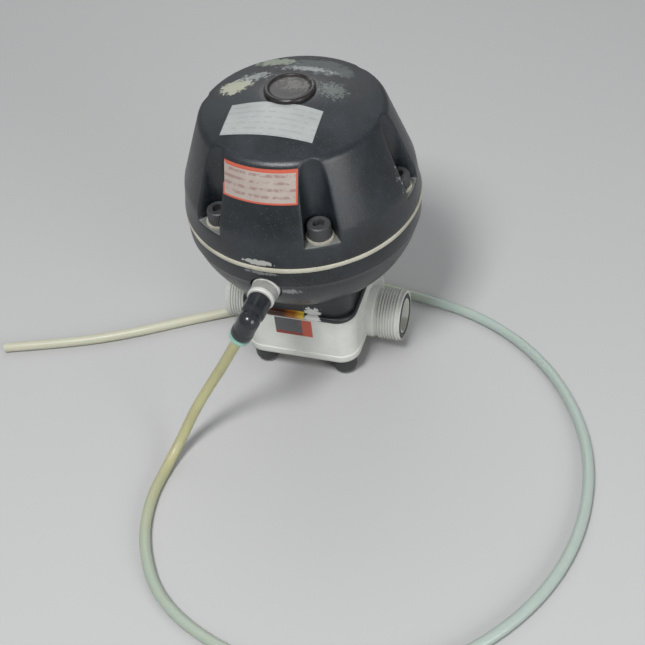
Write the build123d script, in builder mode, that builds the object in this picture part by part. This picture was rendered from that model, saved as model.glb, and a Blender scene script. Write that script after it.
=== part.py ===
from build123d import *
import os
from math import cos, pi, radians, sin, tan

# Air-operated diaphragm valve, spring to close, with threaded union spigots.
# Frame: +Z up the stem axis, +X out of the right port, -Y towards the air inlet.
# The origin is on the floor, on the stem axis. Millimetres.

# ---- driving dimensions ------------------------------------------------------
BODY_X = 90.4               # moulded valve body block
BODY_Y = 100.8
BODY_R = 14.0
BODY_BASE_Z = 18.6
BODY_TOP_Z = 61.0
BAND_TOP_Z = 24.6           # proud band along the foot of the block
BAND_PROUD = 1.0

PORT_Z = 29.4               # port axis
PORT_END_X = 73.6
THREAD_R = 20.955           # G 1 1/4 crest radius
THREAD_LENGTH = 20.0
COLLAR_R = 20.6              # plain collar between the block and the thread
COLLAR_END_X = 51.6
BARREL_R = 19.3
BORE_R = 12.5               # DN 25
SPIGOT_BORE = 28.4          # length of that bore, from the port end to the block
PASSAGE_R = 13.2            # the bore widens inside the block
SEAL_R = 16.2               # face seal in each port end
SEAL_SECTION_R = 2.0

FLOW_X = 24.0               # half axes of the opening under the diaphragm
FLOW_Y = 19.0
WEIR_TOP_Z = 57.0
WEIR_THICK = 8.0

LIP_TOP_Z = 66.0            # clamped edge of the valve diaphragm
LIP_PROUD = 1.2

BOLT_X = 32.7               # four body bolts, M8
BOLT_Y = 38.0
BOLT_R = 4.0
BOLT_CLEAR_R = 4.25
INSERT_TOP_Z = 82.0
CAP_R = 10.4

NECK_X = 88.0               # square neck of the actuator's lower housing
NECK_Y = 98.0
NECK_TOP_Z = 88.0
BOWL_BASE_R = 57.0
BOWL_BASE_Z = 84.0
RIM_R = 88.0
RIM_BASE_Z = 128.5
RIM_TOP_Z = 143.2
CHAMBER_R = 67.0
CHAMBER_FLOOR_Z = 100.0

EDGE_R = 89.2               # actuator diaphragm
EDGE_TOP_Z = 147.2

LEDGE_Z = 163.0             # screw ledges of the upper housing
SHOULDER_R = 67.0
SHOULDER_Z = 221.0
CEILING_Z = 217.0
CAP_SEAT_Z = 235.0
CAP_TOP_Z = 238.4
SIGHT_R = 18.4

SCREW_CIRCLE_R = 75.0       # six housing screws, M10
SCREW_COUNT = 6
SCREW_R = 5.0
SCREW_CLEAR_R = 5.4
POCKET_R = 10.5
POCKET_MOUTH = 16.5          # half width of a pocket's splayed mouth
POCKET_REACH = 30.0          # and how far that is out from the screw
CLOCKING = -2.0             # the actuator is turned this far on the body, degrees

SPINDLE_R = 6.0
RUNNING_GAP = 0.05
PLATE_R = 50.0
STEM_BASE_Z = 66.1

INLET_Z = 124.4             # air inlet, radial, half way between two screws
INLET_ANGLE = -90.0 + CLOCKING
INLET_SEAT = 82.4           # distance of the inlet's spot face from the stem axis
INLET_THREAD_R = 6.58       # G 1/4
BEND_OUT = 119.4            # distance of the elbow's bend from the stem axis
OUTLET_LEAN = 28.0          # the elbow's outlet leans this far off straight down

HOSE_R = 4.0                # 8 x 5.5 pneumatic tube
HOSE_BORE_R = 2.75
HOSE_STOP = 4.0             # where the tube ends inside the elbow, from the bend
COLLET_TRAVEL = 1.2

# ---- planes of the air inlet ---------------------------------------------------
inlet_dir = Vector(cos(radians(INLET_ANGLE)), sin(radians(INLET_ANGLE)), 0)
inlet_side = Vector(0, 0, 1).cross(inlet_dir)
bend_point = inlet_dir * BEND_OUT + Vector(0, 0, INLET_Z)
outlet_dir = Vector(-sin(radians(OUTLET_LEAN)), 0, -cos(radians(OUTLET_LEAN)))
inlet_plane = Plane(origin=(0, 0, INLET_Z), x_dir=inlet_side, z_dir=inlet_dir)
outlet_plane = Plane(origin=bend_point, x_dir=(0, 1, 0), z_dir=outlet_dir)

left_end = Plane(origin=(-PORT_END_X, 0, PORT_Z), x_dir=(0, 1, 0), z_dir=(-1, 0, 0))
right_end = Plane(origin=(PORT_END_X, 0, PORT_Z), x_dir=(0, 1, 0), z_dir=(1, 0, 0))


def finish(piece, label):
    """Name a finished sub-part and write its STEP file."""
    piece.part.label = label
    export_step(piece.part, f"parts/{label}.step")


os.makedirs("parts", exist_ok=True)

# ---- valve body ----------------------------------------------------------------
# White moulded block with a barrel through its foot. The two half bores rise on
# either side of a weir, and the diaphragm closes on top of it.
with BuildPart() as valve_body:
    with BuildSketch(Plane.XY.offset(BODY_BASE_Z)):
        RectangleRounded(BODY_X, BODY_Y, BODY_R)
    extrude(amount=BODY_TOP_Z - BODY_BASE_Z)
    with BuildSketch(Plane.XY.offset(BODY_BASE_Z)):
        RectangleRounded(BODY_X + 2 * BAND_PROUD, BODY_Y + 2 * BAND_PROUD, BODY_R + BAND_PROUD)
    extrude(amount=BAND_TOP_Z - BODY_BASE_Z)
    with BuildSketch(right_end):
        Circle(BARREL_R)
    extrude(amount=-2 * PORT_END_X)
    with BuildSketch(right_end.offset(COLLAR_END_X - PORT_END_X)):
        Circle(COLLAR_R)
    extrude(amount=-2 * COLLAR_END_X)
    for end in (left_end, right_end):
        with BuildSketch(end):
            Circle(THREAD_R)
        extrude(amount=-THREAD_LENGTH)
    end_rims = valve_body.edges().filter_by(GeomType.CIRCLE)
    end_rims = end_rims.filter_by(lambda edge: abs(edge.center().X) > PORT_END_X - 1)
    chamfer(end_rims.filter_by(lambda edge: abs(edge.radius - THREAD_R) < 0.01), length=1.2)
    with BuildSketch(Plane.XY.offset(BODY_TOP_Z)):
        Ellipse(FLOW_X, FLOW_Y)
    extrude(amount=PORT_Z - BODY_TOP_Z, mode=Mode.SUBTRACT)
    for end in (left_end, right_end):
        with BuildSketch(end):
            Circle(BORE_R)
        extrude(amount=-SPIGOT_BORE, mode=Mode.SUBTRACT)
        with BuildSketch(end.offset(-SPIGOT_BORE)):
            Circle(PASSAGE_R)
        extrude(amount=SPIGOT_BORE + WEIR_THICK / 2 - PORT_END_X, mode=Mode.SUBTRACT)
    with BuildSketch(Plane.XY.offset(PORT_Z - BORE_R)):
        Rectangle(WEIR_THICK, 2 * FLOW_Y)
    extrude(amount=WEIR_TOP_Z - PORT_Z + BORE_R)
    for end in (left_end, right_end):
        with BuildSketch(end):
            Circle(SEAL_R + SEAL_SECTION_R)
            Circle(SEAL_R - SEAL_SECTION_R, mode=Mode.SUBTRACT)
        extrude(amount=-3.4, mode=Mode.SUBTRACT)
    with BuildSketch(Plane.XY.offset(BODY_BASE_Z)):
        with GridLocations(2 * BOLT_X, 2 * BOLT_Y, 2, 2):
            Circle(BOLT_CLEAR_R)
    extrude(amount=BODY_TOP_Z - BODY_BASE_Z, mode=Mode.SUBTRACT)
finish(valve_body, "valve_body")

# ---- port face seals -----------------------------------------------------------
for label, end in (("port_seal_left", left_end), ("port_seal_right", right_end)):
    seal_plane = end.offset(SEAL_SECTION_R - 3.4)
    profile_plane = Plane(origin=seal_plane.origin, x_dir=(0, 1, 0), z_dir=(0, 0, 1))
    with BuildPart() as port_seal:
        with BuildSketch(profile_plane):
            with Locations((SEAL_R, 0)):
                Circle(SEAL_SECTION_R)
        revolve(axis=Axis(seal_plane.origin, (1, 0, 0)))
    finish(port_seal, label)

# ---- valve diaphragm -----------------------------------------------------------
# The clamped edge stays put; the middle is a piece of its own, because it flexes.
with BuildPart() as valve_diaphragm:
    with BuildSketch(Plane.XY.offset(BODY_TOP_Z)):
        RectangleRounded(BODY_X + 2 * LIP_PROUD, BODY_Y + 2 * LIP_PROUD, BODY_R + LIP_PROUD)
        Ellipse(FLOW_X, FLOW_Y, mode=Mode.SUBTRACT)
        with GridLocations(2 * BOLT_X, 2 * BOLT_Y, 2, 2):
            Circle(BOLT_CLEAR_R, mode=Mode.SUBTRACT)
    extrude(amount=LIP_TOP_Z - BODY_TOP_Z)
finish(valve_diaphragm, "valve_diaphragm")

with BuildPart() as diaphragm_web:
    with BuildSketch(Plane.XY.offset(BODY_TOP_Z)):
        Ellipse(FLOW_X, FLOW_Y)
    extrude(amount=LIP_TOP_Z - BODY_TOP_Z)
    with BuildSketch(Plane.XY.offset(BODY_TOP_Z)):
        SlotOverall(2 * FLOW_Y - 4, 12, rotation=90)
    extrude(amount=WEIR_TOP_Z - BODY_TOP_Z)
    with BuildSketch(Plane.XY.offset(LIP_TOP_Z)):
        Circle(BOLT_R)
    extrude(amount=-5, mode=Mode.SUBTRACT)
finish(diaphragm_web, "diaphragm_web")

# ---- actuator lower housing ----------------------------------------------------
with BuildPart() as lower_housing:
    with BuildSketch(Plane.XZ) as bowl_outline:
        with BuildLine():
            Polyline((0, BOWL_BASE_Z), (BOWL_BASE_R, BOWL_BASE_Z))
            ThreePointArc((BOWL_BASE_R, BOWL_BASE_Z), (78.5, 107.0), (RIM_R - 1, RIM_BASE_Z))
            Polyline((RIM_R - 1, RIM_BASE_Z), (RIM_R, RIM_BASE_Z + 1.5), (RIM_R, RIM_TOP_Z), (0, RIM_TOP_Z),
                     (0, BOWL_BASE_Z))
        make_face()
    revolve(axis=Axis.Z)
    with BuildSketch(Plane.XY.offset(LIP_TOP_Z)):
        RectangleRounded(NECK_X, NECK_Y, BODY_R)
    extrude(amount=NECK_TOP_Z - LIP_TOP_Z)
    with BuildSketch(Plane.XZ) as chamber_outline:
        with BuildLine():
            Polyline((0, CHAMBER_FLOOR_Z), (48, CHAMBER_FLOOR_Z), (61, 109), (CHAMBER_R, 121),
                     (CHAMBER_R, RIM_TOP_Z), (0, RIM_TOP_Z), (0, CHAMBER_FLOOR_Z))
        make_face()
    revolve(axis=Axis.Z, mode=Mode.SUBTRACT)
    with BuildSketch(Plane.XY.offset(LIP_TOP_Z)):
        Circle(31)
    extrude(amount=22, mode=Mode.SUBTRACT)
    with BuildSketch(Plane.XY.offset(LIP_TOP_Z)):
        Circle(10)
    extrude(amount=CHAMBER_FLOOR_Z - LIP_TOP_Z, mode=Mode.SUBTRACT)
    with BuildSketch(Plane.XY.offset(LIP_TOP_Z)):
        with GridLocations(2 * BOLT_X, 2 * BOLT_Y, 2, 2):
            Circle(6)
    extrude(amount=INSERT_TOP_Z - LIP_TOP_Z, mode=Mode.SUBTRACT)
    with BuildSketch(Plane.XY.offset(RIM_TOP_Z)):
        with PolarLocations(SCREW_CIRCLE_R, SCREW_COUNT, start_angle=CLOCKING):
            Circle(6.6)
    extrude(amount=-12.2, mode=Mode.SUBTRACT)
    with BuildSketch(inlet_plane.offset(INLET_SEAT)):
        Circle(12.0)
    extrude(amount=10, mode=Mode.SUBTRACT)
    with BuildSketch(inlet_plane.offset(INLET_SEAT)):
        Circle(INLET_THREAD_R)
    extrude(amount=-20, mode=Mode.SUBTRACT)
finish(lower_housing, "lower_housing")

# ---- body bolts, washers, inserts and the caps that the valve stands on --------
WASHER_BASE_Z = BODY_BASE_Z - 1.6
with BuildPart() as body_bolts:
    with BuildSketch(Plane.XY.offset(WASHER_BASE_Z)):
        with GridLocations(2 * BOLT_X, 2 * BOLT_Y, 2, 2):
            RegularPolygon(7.5, 6)
    extrude(amount=-5.3)
    with BuildSketch(Plane.XY.offset(WASHER_BASE_Z)):
        with GridLocations(2 * BOLT_X, 2 * BOLT_Y, 2, 2):
            Circle(BOLT_R)
    extrude(amount=INSERT_TOP_Z - 2 - WASHER_BASE_Z)
finish(body_bolts, "body_bolts")

with BuildPart() as body_washers:
    with BuildSketch(Plane.XY.offset(WASHER_BASE_Z)):
        with GridLocations(2 * BOLT_X, 2 * BOLT_Y, 2, 2):
            Circle(8)
            Circle(BOLT_CLEAR_R, mode=Mode.SUBTRACT)
    extrude(amount=BODY_BASE_Z - WASHER_BASE_Z)
finish(body_washers, "body_washers")

with BuildPart() as body_inserts:
    with BuildSketch(Plane.XY.offset(LIP_TOP_Z)):
        with GridLocations(2 * BOLT_X, 2 * BOLT_Y, 2, 2):
            Circle(6)
            Circle(BOLT_R, mode=Mode.SUBTRACT)
    extrude(amount=INSERT_TOP_Z - LIP_TOP_Z)
finish(body_inserts, "body_inserts")

with BuildPart() as one_cap:
    with BuildSketch(Plane.XZ) as cap_outline:
        with BuildLine():
            Line((0, 0), (4, 0))
            ThreePointArc((4, 0), (8.4, 2.6), (CAP_R - 0.4, 7.4))
            Polyline((CAP_R - 0.4, 7.4), (CAP_R, BODY_BASE_Z), (8.4, BODY_BASE_Z), (8.4, 9.0), (0, 9.0),
                     (0, 0))
        make_face()
    revolve(axis=Axis.Z)
with BuildPart() as bolt_caps:
    with GridLocations(2 * BOLT_X, 2 * BOLT_Y, 2, 2):
        add(one_cap.part)
finish(bolt_caps, "bolt_caps")

# ---- actuator diaphragm --------------------------------------------------------
with BuildPart() as actuator_diaphragm:
    with BuildSketch(Plane.XY.offset(RIM_TOP_Z)):
        Circle(EDGE_R)
        Circle(CHAMBER_R - 1, mode=Mode.SUBTRACT)
        with PolarLocations(SCREW_CIRCLE_R, SCREW_COUNT, start_angle=CLOCKING):
            Circle(SCREW_CLEAR_R, mode=Mode.SUBTRACT)
    extrude(amount=EDGE_TOP_Z - RIM_TOP_Z)
finish(actuator_diaphragm, "actuator_diaphragm")

PLATE_Z = 140.0             # the diaphragm's middle is clamped here when closed
WEB_THICK = 3.0
with BuildPart() as actuator_web:
    with BuildSketch(Plane.XZ) as web_outline:
        with BuildLine():
            Polyline((SPINDLE_R, PLATE_Z), (PLATE_R + 2, PLATE_Z), (54.5, 149), (57, 151.5), (59.5, 149),
                     (62, RIM_TOP_Z), (CHAMBER_R - 1, RIM_TOP_Z), (CHAMBER_R - 1, RIM_TOP_Z + WEB_THICK),
                     (64.5, RIM_TOP_Z + WEB_THICK), (61.5, 152), (57, 155), (52.5, 152),
                     (PLATE_R + 0.4, PLATE_Z + WEB_THICK), (SPINDLE_R, PLATE_Z + WEB_THICK),
                     (SPINDLE_R, PLATE_Z))
        make_face()
    revolve(axis=Axis.Z)
finish(actuator_web, "actuator_web")

# ---- stem ----------------------------------------------------------------------
# What lifts with the spindle, by 10 mm from closed to open.
with BuildPart() as compressor:
    with BuildSketch(Plane.XY.offset(STEM_BASE_Z)):
        Circle(21)
    extrude(amount=3.4)
    with BuildSketch(Plane.XY.offset(STEM_BASE_Z)):
        Circle(11)
        Rectangle(38, 4)
        Rectangle(4, 38)
    extrude(amount=10.5)
    with BuildSketch(Plane.XY.offset(STEM_BASE_Z)):
        Circle(BOLT_R)
    extrude(amount=10.5, mode=Mode.SUBTRACT)
    with BuildSketch(Plane.XY.offset(71)):
        Circle(SPINDLE_R)
    extrude(amount=10, mode=Mode.SUBTRACT)
finish(compressor, "compressor")

with BuildPart() as diaphragm_stud:
    with BuildSketch(Plane.XY.offset(LIP_TOP_Z - 5)):
        Circle(BOLT_R)
    extrude(amount=10)
finish(diaphragm_stud, "diaphragm_stud")

with BuildPart() as spindle:
    with BuildSketch(Plane.XY.offset(71)):
        Circle(SPINDLE_R)
    extrude(amount=86)
    with BuildSketch(Plane.XY.offset(126)):
        Circle(10)
    extrude(amount=4)
    chamfer(spindle.edges().group_by(Axis.Z)[-1], length=0.8)
finish(spindle, "spindle")

with BuildPart() as lower_plate:
    with BuildSketch(Plane.XZ) as lower_plate_outline:
        with BuildLine():
            Polyline((SPINDLE_R, 130), (18, 130), (22, 136), (PLATE_R - 2, 136), (PLATE_R, 138),
                     (PLATE_R, PLATE_Z), (SPINDLE_R, PLATE_Z), (SPINDLE_R, 130))
        make_face()
    revolve(axis=Axis.Z)
finish(lower_plate, "lower_plate")

SPRING_SEAT_Z = PLATE_Z + WEB_THICK + 4
with BuildPart() as upper_plate:
    with BuildSketch(Plane.XZ) as upper_plate_outline:
        with BuildLine():
            Polyline((SPINDLE_R, PLATE_Z + WEB_THICK), (PLATE_R - 3, PLATE_Z + WEB_THICK),
                     (PLATE_R - 3, SPRING_SEAT_Z + 5), (PLATE_R - 5, SPRING_SEAT_Z + 5),
                     (PLATE_R - 5, SPRING_SEAT_Z), (SPINDLE_R, SPRING_SEAT_Z),
                     (SPINDLE_R, PLATE_Z + WEB_THICK))
        make_face()
    revolve(axis=Axis.Z)
finish(upper_plate, "upper_plate")

with BuildPart() as spindle_nut:
    with BuildSketch(Plane.XY.offset(SPRING_SEAT_Z)):
        RegularPolygon(10.4, 6)
        Circle(SPINDLE_R, mode=Mode.SUBTRACT)
    extrude(amount=7)
finish(spindle_nut, "spindle_nut")

with BuildPart() as indicator_rod:
    with BuildSketch(Plane.XY.offset(157)):
        Circle(SPINDLE_R)
    extrude(amount=6)
    with BuildSketch(Plane.XY.offset(157)):
        Circle(4.2)
    extrude(amount=66)
    chamfer(indicator_rod.edges().group_by(Axis.Z)[-1], length=1)
finish(indicator_rod, "indicator_rod")

# ---- closing springs -----------------------------------------------------------
for label, coil_r, wire_r, turns in (("spring_outer", 40.0, 2.5, 5), ("spring_inner", 21.0, 1.8, 7)):
    coil_height = CEILING_Z - SPRING_SEAT_Z - 2 * wire_r
    with BuildPart() as spring:
        with BuildLine(Plane.XY.offset(SPRING_SEAT_Z + wire_r)) as wire_path:
            Helix(pitch=coil_height / turns, height=coil_height, radius=coil_r)
        with BuildSketch(Plane(origin=wire_path.line @ 0, z_dir=wire_path.line % 0)):
            Circle(wire_r)
        sweep()
    finish(spring, label)

# ---- spindle bush and its seal -------------------------------------------------
with BuildPart() as spindle_bush:
    with BuildSketch(Plane.XY.offset(88)):
        Circle(10)
        Circle(SPINDLE_R + RUNNING_GAP, mode=Mode.SUBTRACT)
    extrude(amount=CHAMBER_FLOOR_Z - 88)
    with BuildSketch(Plane.XY.offset(93)):
        Circle(8.6)
    extrude(amount=2.6, mode=Mode.SUBTRACT)
finish(spindle_bush, "spindle_bush")

with BuildPart() as stem_seal:
    with BuildSketch(Plane.XZ):
        with Locations((7.3, 94.3)):
            Circle(1.25)
    revolve(axis=Axis.Z)
finish(stem_seal, "stem_seal")

# ---- actuator upper housing ----------------------------------------------------
# Each screw sits in a round pocket that opens outwards through a splayed mouth.
pocket_mouth = [(0, -POCKET_R), (POCKET_REACH, -POCKET_MOUTH), (POCKET_REACH, POCKET_MOUTH), (0, POCKET_R)]
with BuildPart() as upper_housing:
    with BuildSketch(Plane.XZ) as dome_outline:
        with BuildLine() as dome_line:
            Polyline((0, EDGE_TOP_Z), (RIM_R + 0.2, EDGE_TOP_Z), (RIM_R + 0.2, 150), (86.8, 158), (85.4, 170),
                     (SHOULDER_R, SHOULDER_Z), (SIGHT_R + 2.5, CAP_SEAT_Z), (0, CAP_SEAT_Z), (0, EDGE_TOP_Z))
        make_face()
    revolve(axis=Axis.Z)
    circles = upper_housing.edges().filter_by(GeomType.CIRCLE)
    fillet(circles.sort_by(lambda edge: abs(edge.radius - SHOULDER_R))[0], radius=6.5)
    with BuildSketch(Plane.XZ) as cavity_outline:
        with BuildLine():
            Polyline((0, EDGE_TOP_Z), (CHAMBER_R - 1, EDGE_TOP_Z), (CHAMBER_R - 1, 155), (61, 160), (61, 202),
                     (56, CEILING_Z), (0, CEILING_Z), (0, EDGE_TOP_Z))
        make_face()
    revolve(axis=Axis.Z, mode=Mode.SUBTRACT)
    with BuildSketch(Plane.XY.offset(LEDGE_Z)):
        with PolarLocations(SCREW_CIRCLE_R, SCREW_COUNT, start_angle=CLOCKING):
            Circle(POCKET_R)
            Polygon(*pocket_mouth, align=None)
    extrude(amount=80, mode=Mode.SUBTRACT)
    with BuildSketch(Plane.XY.offset(EDGE_TOP_Z)):
        with PolarLocations(SCREW_CIRCLE_R, SCREW_COUNT, start_angle=CLOCKING):
            Circle(SCREW_CLEAR_R)
    extrude(amount=LEDGE_Z - EDGE_TOP_Z, mode=Mode.SUBTRACT)
    with BuildSketch(Plane.XY.offset(CAP_SEAT_Z)):
        Circle(12)
    extrude(amount=-11, mode=Mode.SUBTRACT)
    with BuildSketch(Plane.XY.offset(CAP_SEAT_Z)):
        Circle(5)
    extrude(amount=-20, mode=Mode.SUBTRACT)
    with BuildSketch(Plane.XY.offset(CAP_SEAT_Z)):
        Circle(16.2)
        Circle(13.6, mode=Mode.SUBTRACT)
    extrude(amount=-2.2, mode=Mode.SUBTRACT)
finish(upper_housing, "upper_housing")

# ---- housing screws, washers and inserts ---------------------------------------
HEAD_BASE_Z = LEDGE_Z + 1.6
HEAD_HEIGHT = 10.4
with BuildPart() as housing_screws:
    with BuildSketch(Plane.XY.offset(HEAD_BASE_Z)):
        with PolarLocations(SCREW_CIRCLE_R, SCREW_COUNT, start_angle=CLOCKING):
            Circle(8.5)
    extrude(amount=HEAD_HEIGHT)
    chamfer(housing_screws.edges().group_by(Axis.Z)[-1], length=0.8)
    with BuildSketch(Plane.XY.offset(HEAD_BASE_Z + HEAD_HEIGHT)):
        with PolarLocations(SCREW_CIRCLE_R, SCREW_COUNT, start_angle=CLOCKING):
            RegularPolygon(4.6, 6)
    extrude(amount=-5, mode=Mode.SUBTRACT)
    with BuildSketch(Plane.XY.offset(HEAD_BASE_Z)):
        with PolarLocations(SCREW_CIRCLE_R, SCREW_COUNT, start_angle=CLOCKING):
            Circle(SCREW_R)
    extrude(amount=-31)
finish(housing_screws, "housing_screws")

with BuildPart() as housing_washers:
    with BuildSketch(Plane.XY.offset(LEDGE_Z)):
        with PolarLocations(SCREW_CIRCLE_R, SCREW_COUNT, start_angle=CLOCKING):
            Circle(10)
            Circle(SCREW_CLEAR_R, mode=Mode.SUBTRACT)
    extrude(amount=1.6)
finish(housing_washers, "housing_washers")

with BuildPart() as housing_inserts:
    with BuildSketch(Plane.XY.offset(RIM_TOP_Z)):
        with PolarLocations(SCREW_CIRCLE_R, SCREW_COUNT, start_angle=CLOCKING):
            Circle(6.6)
            Circle(SCREW_R, mode=Mode.SUBTRACT)
    extrude(amount=-12.2)
finish(housing_inserts, "housing_inserts")

# ---- sight cap over the indicator ----------------------------------------------
with BuildPart() as sight_cap:
    with BuildSketch(Plane.XZ) as sight_outline:
        with BuildLine():
            Polyline((0, 236.4), (9, 236.4), (9, CAP_SEAT_Z - 10.6), (12, CAP_SEAT_Z - 10.6),
                     (12, CAP_SEAT_Z), (SIGHT_R, CAP_SEAT_Z), (SIGHT_R, CAP_TOP_Z - 0.8),
                     (SIGHT_R - 0.8, CAP_TOP_Z), (14.6, CAP_TOP_Z), (13.4, CAP_TOP_Z - 1.0),
                     (0, CAP_TOP_Z - 0.2), (0, 236.4))
        make_face()
    revolve(axis=Axis.Z)
finish(sight_cap, "sight_cap")

with BuildPart() as sight_cap_seal:
    with BuildSketch(Plane.XZ):
        with Locations((14.9, CAP_SEAT_Z - 1.1)):
            Circle(1.08)
    revolve(axis=Axis.Z)
finish(sight_cap_seal, "sight_cap_seal")

# ---- air inlet nipple, elbow and release ring ----------------------------------
NIPPLE_SEAT = INLET_SEAT + 1.2
NIPPLE_END = 98.0
SPIGOT_END = 108.0
with BuildPart() as nipple_seal:
    with BuildSketch(inlet_plane.offset(INLET_SEAT)):
        Circle(9.2)
        Circle(INLET_THREAD_R, mode=Mode.SUBTRACT)
    extrude(amount=1.2)
finish(nipple_seal, "nipple_seal")

with BuildPart() as nipple:
    with BuildSketch(inlet_plane.offset(CHAMBER_R + 0.6)):
        Circle(INLET_THREAD_R)
    extrude(amount=NIPPLE_SEAT - CHAMBER_R - 0.6)
    with BuildSketch(inlet_plane.offset(NIPPLE_SEAT)):
        Circle(9.8)
    extrude(amount=NIPPLE_END - NIPPLE_SEAT)
    for rim_start in (NIPPLE_SEAT, NIPPLE_END - 2.0):
        with BuildSketch(inlet_plane.offset(rim_start)):
            Circle(10.3)
        extrude(amount=2.0)
    with BuildSketch(inlet_plane.offset(NIPPLE_END)):
        Circle(5)
    extrude(amount=SPIGOT_END - NIPPLE_END)
    with BuildSketch(inlet_plane.offset(CHAMBER_R)):
        Circle(2.5)
    extrude(amount=SPIGOT_END - CHAMBER_R + 1, mode=Mode.SUBTRACT)
finish(nipple, "nipple")

GRAB_START = 8.9
COLLET_START = 11.1
MOUTH = 16.4
COLLET_BORE_START = 9.7
with BuildPart() as elbow_body:
    with BuildSketch(inlet_plane.offset(NIPPLE_END + 0.3)):
        Circle(8.7)
    extrude(amount=BEND_OUT - NIPPLE_END - 4.3)
    chamfer(elbow_body.edges().group_by(Axis((0, 0, 0), inlet_dir))[-1], length=1.6)
    with BuildSketch(inlet_plane.offset(NIPPLE_END + 0.3)):
        Circle(7.4)
    extrude(amount=BEND_OUT - NIPPLE_END - 0.3)
    with Locations(bend_point):
        Sphere(7.9)
    with BuildSketch(outlet_plane):
        Circle(7.9)
    extrude(amount=MOUTH)
    with BuildSketch(outlet_plane.offset(MOUTH - 5)):
        Circle(8.3)
    extrude(amount=5)
    with BuildSketch(inlet_plane.offset(NIPPLE_END)):
        Circle(5)
    extrude(amount=SPIGOT_END - NIPPLE_END, mode=Mode.SUBTRACT)
    with BuildSketch(inlet_plane.offset(NIPPLE_END)):
        Circle(2.5)
    extrude(amount=BEND_OUT - NIPPLE_END, mode=Mode.SUBTRACT)
    with Locations(bend_point):
        Sphere(2.5, mode=Mode.SUBTRACT)
    for bore_start, bore_r in ((0, 2.5), (HOSE_STOP, HOSE_R + 0.1), (6.2, 6.5)):
        with BuildSketch(outlet_plane.offset(bore_start)):
            Circle(bore_r)
        extrude(amount=COLLET_BORE_START - bore_start, mode=Mode.SUBTRACT)
    with BuildSketch(outlet_plane.offset(COLLET_BORE_START)):
        Circle(5.7)
    extrude(amount=10, mode=Mode.SUBTRACT)
finish(elbow_body, "elbow_body")

with BuildPart() as tube_seal:
    with BuildSketch(Plane(origin=bend_point, x_dir=(0, 1, 0), z_dir=Vector(0, 1, 0).cross(outlet_dir))):
        with Locations((5.2, 7.5)):
            Circle(1.15)
    revolve(axis=Axis(bend_point, outlet_dir))
finish(tube_seal, "tube_seal")

with BuildPart() as grab_ring:
    with BuildSketch(outlet_plane.offset(GRAB_START)):
        Circle(6.4)
        Circle(HOSE_R + 0.05, mode=Mode.SUBTRACT)
    extrude(amount=0.7)
finish(grab_ring, "grab_ring")

with BuildPart() as release_ring:
    with BuildSketch(outlet_plane.offset(COLLET_START)):
        Circle(5.6)
    extrude(amount=MOUTH + COLLET_TRAVEL + 0.2 - COLLET_START)
    with BuildSketch(outlet_plane.offset(MOUTH + COLLET_TRAVEL + 0.2)):
        Circle(8.1)
    extrude(amount=3.0)
    fillet(release_ring.edges().group_by(Axis((0, 0, 0), outlet_dir))[-1], radius=0.8)
    with BuildSketch(outlet_plane.offset(COLLET_START)):
        Circle(HOSE_R + 0.08)
    extrude(amount=20, mode=Mode.SUBTRACT)
finish(release_ring, "release_ring")

# ---- air hose ------------------------------------------------------------------
# Leaves the elbow, drops to the floor, loops round the front and the right side,
# runs under the valve between its caps and ends in a square cut on the left.
FLOOR = HOSE_R
hose_start = bend_point + outlet_dir * HOSE_STOP
hose_points = [
    tuple(hose_start),
    (-30.93, -119.33, 74.07),
    (-52.6, -131.5, 39.5),
    (-63.8, -145.5, 15.5),
    (-70.0, -168.0, FLOOR),
    (-71.0, -201.0, FLOOR),
    (-60.5, -238.4, FLOOR),
    (-31.9, -278.0, FLOOR),
    (20.6, -301.9, FLOOR),
    (84.1, -309.9, FLOOR),
    (132.5, -298.7, FLOOR),
    (181.1, -266.3, FLOOR),
    (218.8, -216.6, FLOOR),
    (237.5, -157.6, FLOOR),
    (234.9, -90.9, FLOOR),
    (210.5, -34.1, FLOOR),
    (173.9, 8.4, FLOOR),
    (127.2, 36.7, FLOOR),
    (72.5, 49.5, FLOOR),
    (20.0, 57.5, FLOOR),
    (-23.0, 26.0, FLOOR),
    (-64.5, 7.5, FLOOR),
    (-109.2, -15.6, FLOOR),
    (-159.4, -44.9, FLOOR),
    (-202.3, -63.4, FLOOR),
    (-256.0, -80.7, FLOOR),
]
corners = [Vector(*point) for point in hose_points]
runs = [(b - a).length for a, b in zip(corners[:-1], corners[1:])]
hose_radii = []
for i in range(1, len(corners) - 1):
    turn = (corners[i] - corners[i - 1]).get_angle(corners[i + 1] - corners[i])
    hose_radii.append(0.45 * min(runs[i - 1], runs[i]) / tan(radians(turn) / 2))
print("hose radii", [round(r, 1) for r in hose_radii])

with BuildPart() as air_hose:
    with BuildLine() as hose_path:
        FilletPolyline(*hose_points, radius=hose_radii)
    with BuildSketch(Plane(origin=hose_path.line @ 0, z_dir=hose_path.line % 0)):
        Circle(HOSE_R)
        Circle(HOSE_BORE_R, mode=Mode.SUBTRACT)
    sweep()
finish(air_hose, "air_hose")
hose_length = sum(edge.length for edge in hose_path.edges())
hose_section = pi * (HOSE_R**2 - HOSE_BORE_R**2)
volume_ratio = air_hose.part.volume / (hose_section * hose_length)
print("hose length", round(hose_length, 1), "volume over section times length", round(volume_ratio, 4))
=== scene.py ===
from math import atan2, cos, hypot, pi, radians, sin, tan

import bmesh
import bpy
from mathutils import Matrix, Vector


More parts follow.
